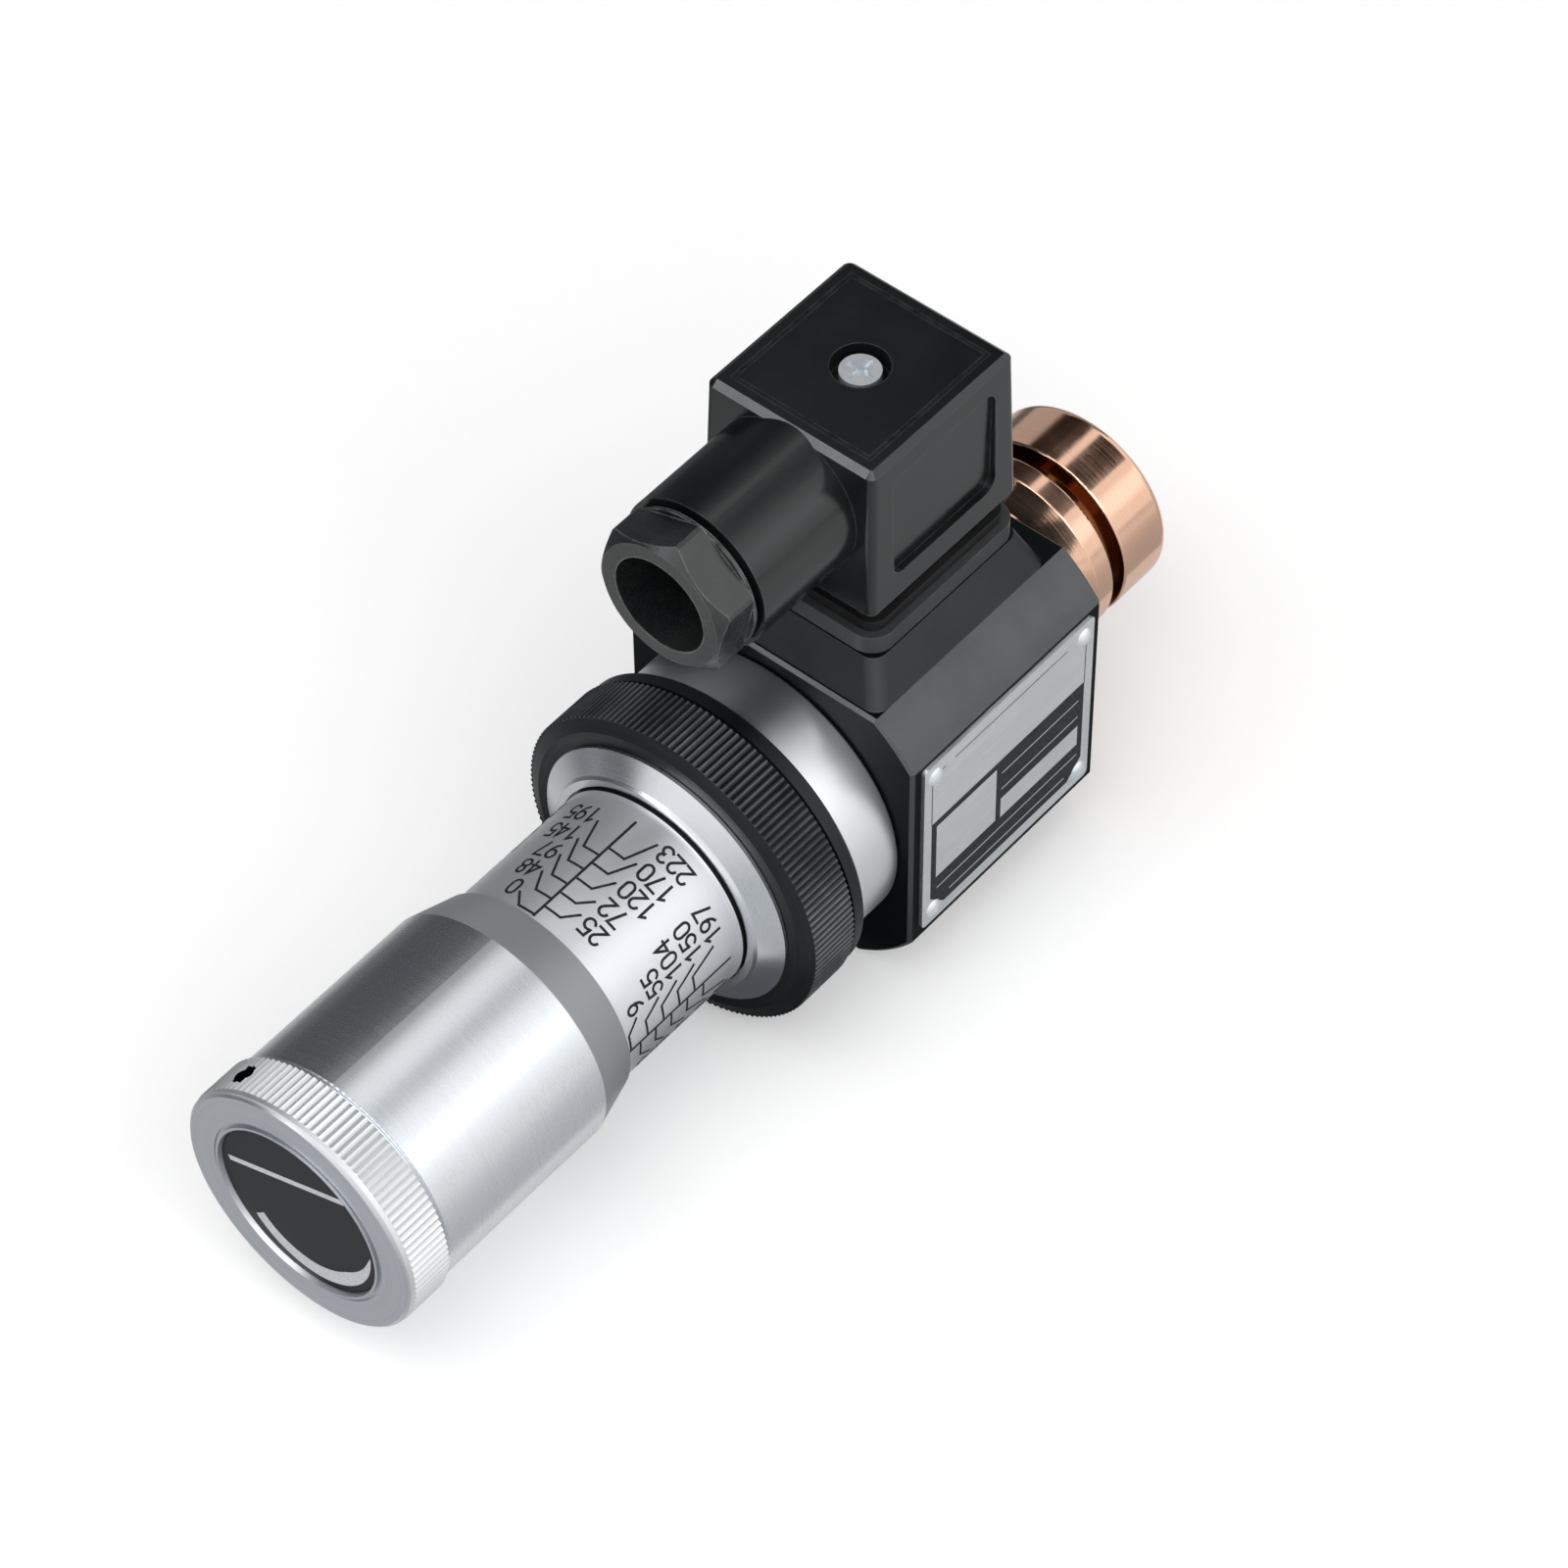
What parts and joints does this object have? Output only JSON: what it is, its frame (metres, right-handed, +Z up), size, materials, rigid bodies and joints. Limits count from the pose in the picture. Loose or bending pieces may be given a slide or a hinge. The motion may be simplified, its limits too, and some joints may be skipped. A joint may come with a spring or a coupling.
{
  "type": "hydraulic pressure switch",
  "caption": "Hydraulic pressure switch with a graduated micrometer drum, knurled lock ring, square body, threaded pressure port and a square plug connector with cable gland.",
  "frame": {"origin": "on the switch axis where the thread of the pressure port begins, just inside its mouth", "axes": "+X along the switch axis out of the pressure port, away from the adjusting drum; +Z up towards the plug connector; the nameplate faces -Y"},
  "size_m": [0.1665, 0.0519, 0.0918],
  "materials": {
    "block_black": "satin black anodised metal",
    "satin_aluminium": "turned satin",
    "polished_aluminium": "fine turned, polished",
    "ring_black": "black with worn knurl tips",
    "copper": "polished copper-coloured plating",
    "steel": "ground",
    "spring_steel": "drawn wire",
    "zinc": "zinc plated",
    "contact_metal": "plated contact metal",
    "black_plastic": "satin moulded",
    "grey_plastic": "moulded",
    "nut_plastic": "moulded, worn",
    "seal_rubber": "moulded",
    "wire_cover": "wire insulation",
    "plate_metal": "printed aluminium sheet",
    "label_black": "printed disc"
  },
  "bodies": {
    "housing": {"body_block": "block_black", "collar": "satin_aluminium", "clamp_nose": "polished_aluminium", "graduated_barrel": "satin_aluminium", "barrel_bush": "steel", "range_spring": "spring_steel", "port_fitting": "copper", "fitting_seal": "seal_rubber", "piston_sleeve": "steel", "piston_seal": "seal_rubber", "microswitch": "black_plastic", "switch_terminals": "contact_metal", "microswitch_screws": "zinc", "lever_pin": "steel", "lead_wires": "wire_cover", "connector_riser": "block_black", "connector_flange": "grey_plastic", "flange_screws": "zinc", "contact_blades": "contact_metal", "plug_gasket": "seal_rubber", "terminal_insert": "black_plastic", "terminal_screws": "zinc", "plug_housing": "black_plastic", "centre_screw": "zinc", "gland_nut": "nut_plastic", "gland_washer": "zinc", "gland_seal": "seal_rubber", "nameplate": "plate_metal", "nameplate_rivets": "zinc"},
    "carriage": {"spring_seat": "steel", "thrust_ball": "steel"},
    "drum": {"thimble": "polished_aluminium", "end_cap": "polished_aluminium", "label_disc": "label_black", "cap_set_screw": "steel", "adjusting_spindle": "steel"},
    "lock": {"lock_ring": "ring_black"},
    "sensing": {"push_rod": "steel", "trip_collar": "steel", "piston": "steel"},
    "lever": {"switch_lever": "zinc"},
    "button": {"switch_button": "grey_plastic"}
  },
  "joints": [
    {"name": "adjuster_travel", "type": "slide", "parent": "housing", "child": "carriage", "axis": [1, 0, 0], "range_m": [0, 0.0165], "deforming": ["range_spring"]},
    {"name": "drum_turn", "type": "hinge", "parent": "carriage", "child": "drum", "pos_m": [-0.1397, 0, 0], "axis": [1, 0, 0], "range_deg": [0, 1800]},
    {"name": "lock_ring_turn", "type": "hinge", "parent": "housing", "child": "lock", "pos_m": [-0.0855, 0, 0], "axis": [1, 0, 0], "range_deg": [-90, 90]},
    {"name": "piston_travel", "type": "slide", "parent": "housing", "child": "sensing", "axis": [-1, 0, 0], "range_m": [0, 0.0008], "stiffness_N_per_m": 7400, "springref_m": -0.002, "deforming": ["range_spring"]},
    {"name": "lever_swing", "type": "hinge", "parent": "housing", "child": "lever", "pos_m": [-0.05485, 0, 0.0098], "axis": [0, 1, 0], "range_deg": [0, 4.9]},
    {"name": "button_press", "type": "slide", "parent": "housing", "child": "button", "axis": [1, 0, 0], "range_m": [0, 0.0008]}
  ],
  "couplings": [
    {"joint": "drum_turn", "follows": "adjuster_travel", "rad_per_m": 1904},
    {"joint": "lever_swing", "follows": "piston_travel", "rad_per_m": 102.04},
    {"joint": "button_press", "follows": "piston_travel", "ratio": 0.9898}
  ]
}
